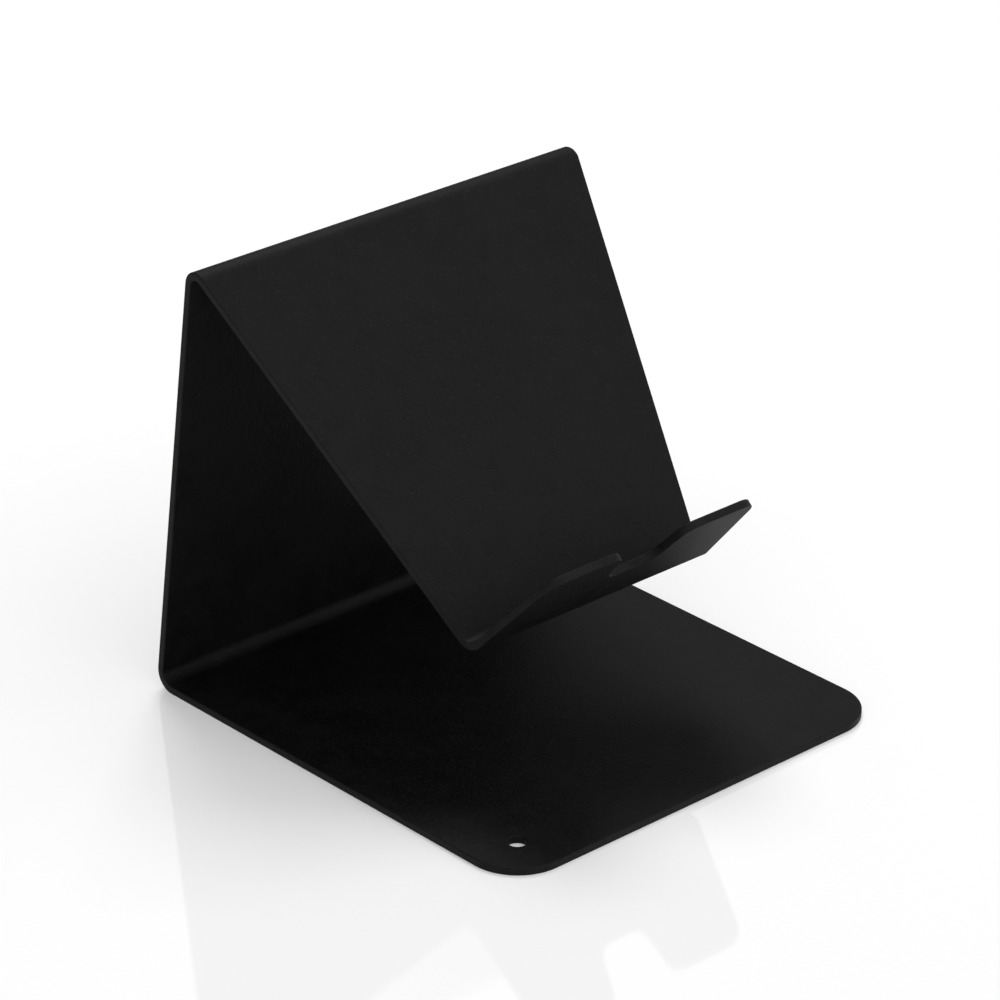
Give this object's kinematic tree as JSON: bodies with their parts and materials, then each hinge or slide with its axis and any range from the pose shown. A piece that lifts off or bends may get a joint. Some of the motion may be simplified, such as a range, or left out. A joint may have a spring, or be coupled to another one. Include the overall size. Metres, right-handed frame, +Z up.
{
  "type": "game controller stand",
  "caption": "Folded sheet-steel stand that holds a game controller: flat base, leaning rear plate, sloping rest panel and a raised lip with rounded tabs and a cable notch.",
  "frame": {"origin": "on the underside of the base, in the middle of the part's width and depth", "axes": "+Z up, -Y towards the user, where the front edge of the base and the lip are, +X to the right of a user who looks along +Y"},
  "size_m": [0.12, 0.127, 0.1135],
  "materials": {
    "powder_coat": "satin black powder coat on steel sheet"
  },
  "bodies": {
    "root": {"folded_stand": "powder_coat"}
  },
  "joints": []
}
